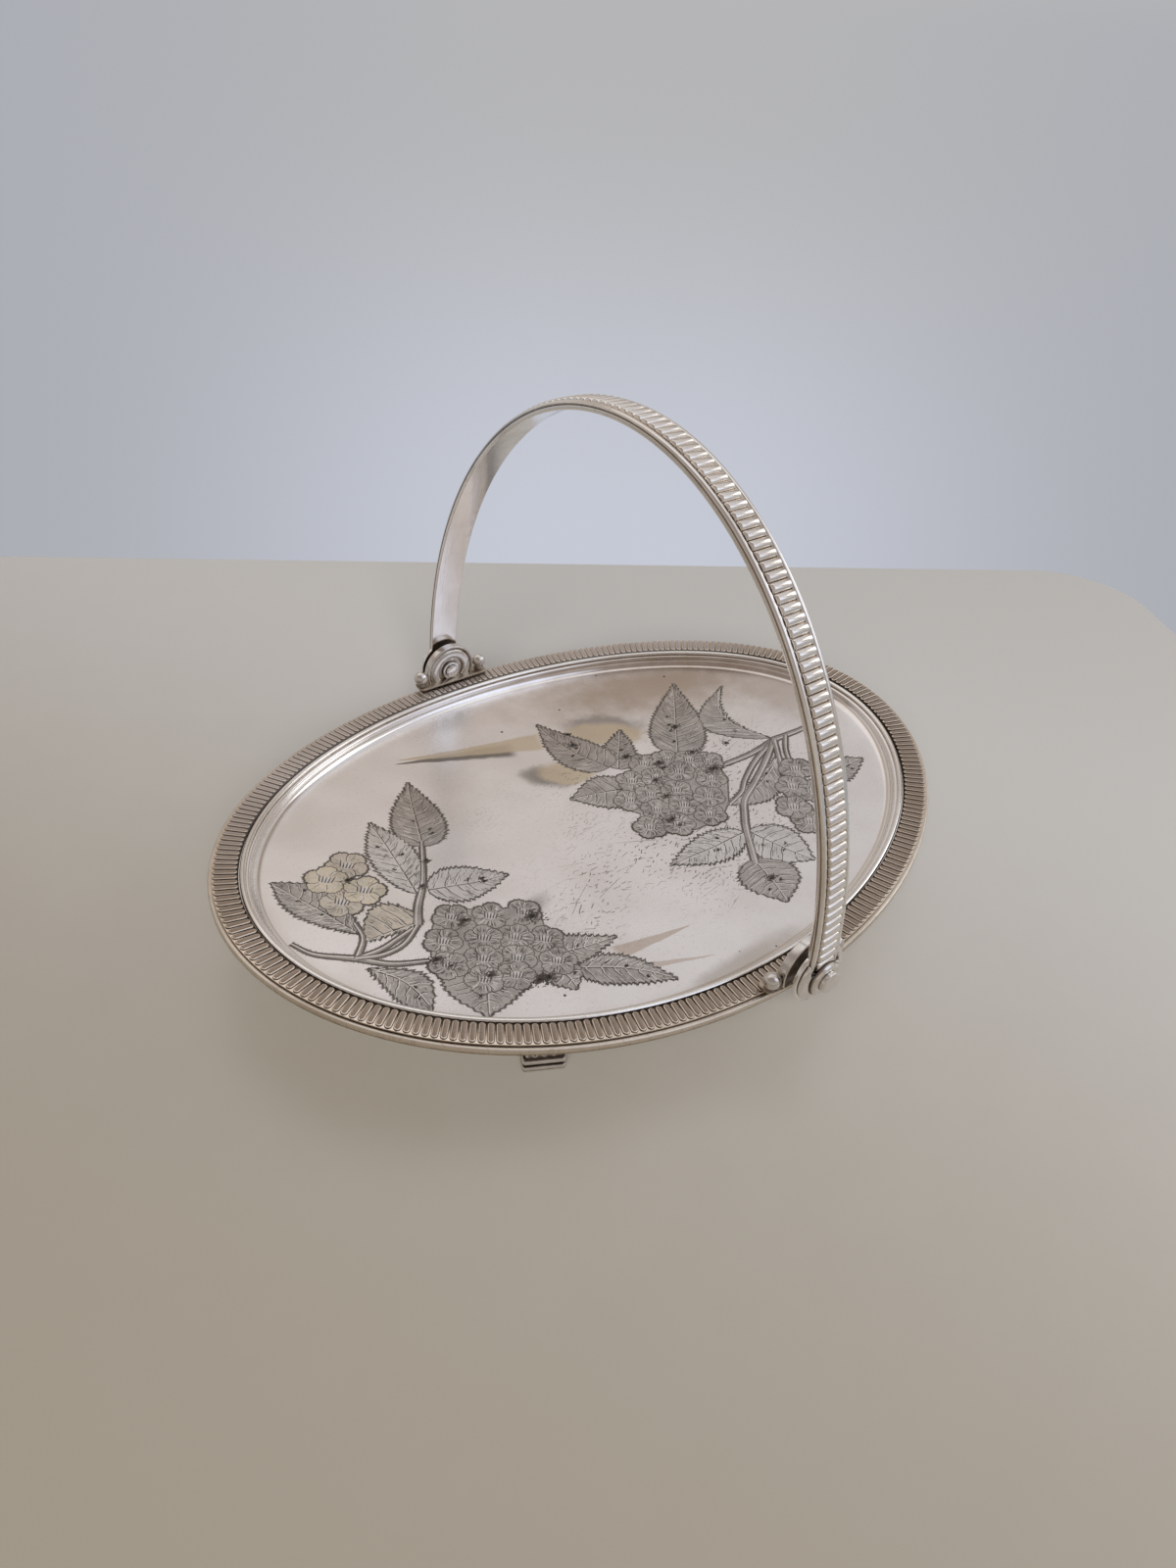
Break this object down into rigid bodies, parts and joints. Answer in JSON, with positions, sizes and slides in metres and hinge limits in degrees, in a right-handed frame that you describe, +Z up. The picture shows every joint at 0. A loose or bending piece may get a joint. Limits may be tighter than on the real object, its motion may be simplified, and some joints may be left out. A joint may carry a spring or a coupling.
{
  "type": "swing-handle basket",
  "caption": "Oval silver-plated basket on low feet, with a reeded rim and a reeded arched handle that swings on two riveted hinges.",
  "frame": {"origin": "on the table plane, under the middle of the oval tray and midway between the two hinges", "axes": "+X along the tray's long axis to the right, +Y along the hinge line to the back, +Z up"},
  "size_m": [0.24, 0.1926, 0.1427],
  "materials": {
    "polished_silver": "polished silver plate with light wear and fine scratches",
    "reeded_silver": "silver plate, bright on the reeds and dark brown in the grooves",
    "cast_silver": "cast and plated, slightly dulled with dark recesses",
    "rivet_silver": "turned and plated, softly polished"
  },
  "bodies": {
    "basket": {"tray_pan": "polished_silver", "rim_edge_wire": "polished_silver", "rim_bead_wire": "polished_silver", "rim_reeded_band": "reeded_silver", "foot_front_left": "cast_silver", "foot_front_right": "cast_silver", "foot_back_left": "cast_silver", "foot_back_right": "cast_silver", "hinge_bracket_front": "cast_silver", "hinge_bracket_back": "cast_silver", "bracket_ball_front_left": "cast_silver", "bracket_ball_front_right": "cast_silver", "bracket_ball_back_left": "cast_silver", "bracket_ball_back_right": "cast_silver", "hinge_rivet_front": "rivet_silver", "hinge_rivet_back": "rivet_silver", "inner_washer_front": "rivet_silver", "inner_washer_back": "rivet_silver", "hinge_spacer_front": "rivet_silver", "hinge_spacer_back": "rivet_silver"},
    "handle": {"handle_strap": "polished_silver", "handle_moulding_left": "polished_silver", "handle_moulding_right": "polished_silver", "handle_reeded_band": "reeded_silver", "hinge_rosette_front": "polished_silver", "hinge_rosette_back": "polished_silver", "rivet_cone_front": "rivet_silver", "rivet_cone_back": "rivet_silver"}
  },
  "joints": [
    {"name": "handle_swing", "type": "hinge", "parent": "basket", "child": "handle", "pos_m": [0, 0, 0.0238], "axis": [0, 1, 0], "range_deg": [-85, 85]}
  ]
}
